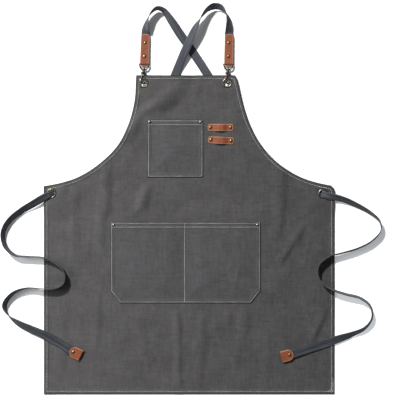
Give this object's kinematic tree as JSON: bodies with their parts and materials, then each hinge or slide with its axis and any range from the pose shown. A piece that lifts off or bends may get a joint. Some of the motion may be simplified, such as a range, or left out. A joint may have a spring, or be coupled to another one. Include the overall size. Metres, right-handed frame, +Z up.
{
  "type": "kitchen apron",
  "caption": "Cross-back canvas apron lying flat: hemmed bib and skirt, patch pockets, leather tool loops, and webbing straps that hang on snap hooks and run through eyelets to become the ties.",
  "frame": {"origin": "on the surface that the apron lies on, under the middle of its overall box", "axes": "+X to the right as the apron is seen from its front, +Y from the bottom hem towards the bib and shoulder loops, +Z up out of the front face"},
  "size_m": [0.8904, 0.9114, 0.0239],
  "materials": {
    "canvas": "washed charcoal cotton canvas, matt",
    "webbing": "woven slate-grey webbing, matt",
    "leather": "tan vegetable-tanned leather, satin",
    "brass": "antique brass",
    "hook_metal": "dark antique brass plating"
  },
  "bodies": {
    "apron": {"apron_panel": "canvas", "chest_pocket": "canvas", "waist_pocket": "canvas", "eyelet_bib_left": "brass", "eyelet_bib_right": "brass", "eyelet_waist_left": "brass", "eyelet_waist_right": "brass", "pocket_rivet_chest_left": "brass", "pocket_rivet_chest_right": "brass", "pocket_rivet_waist_left": "brass", "pocket_rivet_waist_right": "brass", "tool_loop_upper": "leather", "tool_loop_lower": "leather", "loop_rivet_upper_1": "brass", "loop_rivet_upper_2": "brass", "loop_rivet_lower_1": "brass", "loop_rivet_lower_2": "brass", "hook_ring_left": "hook_metal", "hook_ring_right": "hook_metal", "snap_hook_left": "hook_metal", "snap_hook_right": "hook_metal", "strap_tab_left": "leather", "strap_tab_right": "leather", "tab_rivet_left_1": "brass", "tab_rivet_left_2": "brass", "tab_rivet_right_1": "brass", "tab_rivet_right_2": "brass", "tie_tip_left": "leather", "tie_tip_right": "leather", "tip_rivet_left": "brass", "tip_rivet_right": "brass", "strap_left": "webbing", "strap_right": "webbing", "tie_left": "webbing", "tie_right": "webbing"},
    "gate_left": {"hook_gate_left": "hook_metal"},
    "gate_right": {"hook_gate_right": "hook_metal"}
  },
  "joints": [
    {"name": "gate_left_hinge", "type": "hinge", "parent": "apron", "child": "gate_left", "pos_m": [-0.11283, 0.29355, 0.00877], "axis": [0.6422, -0.028, 0.766], "range_deg": [0, 15], "stiffness_Nm_per_rad": 0.02},
    {"name": "gate_right_hinge", "type": "hinge", "parent": "apron", "child": "gate_right", "pos_m": [0.08396, 0.29349, 0.00877], "axis": [0.6426, -0.0168, 0.766], "range_deg": [0, 15], "stiffness_Nm_per_rad": 0.02}
  ]
}
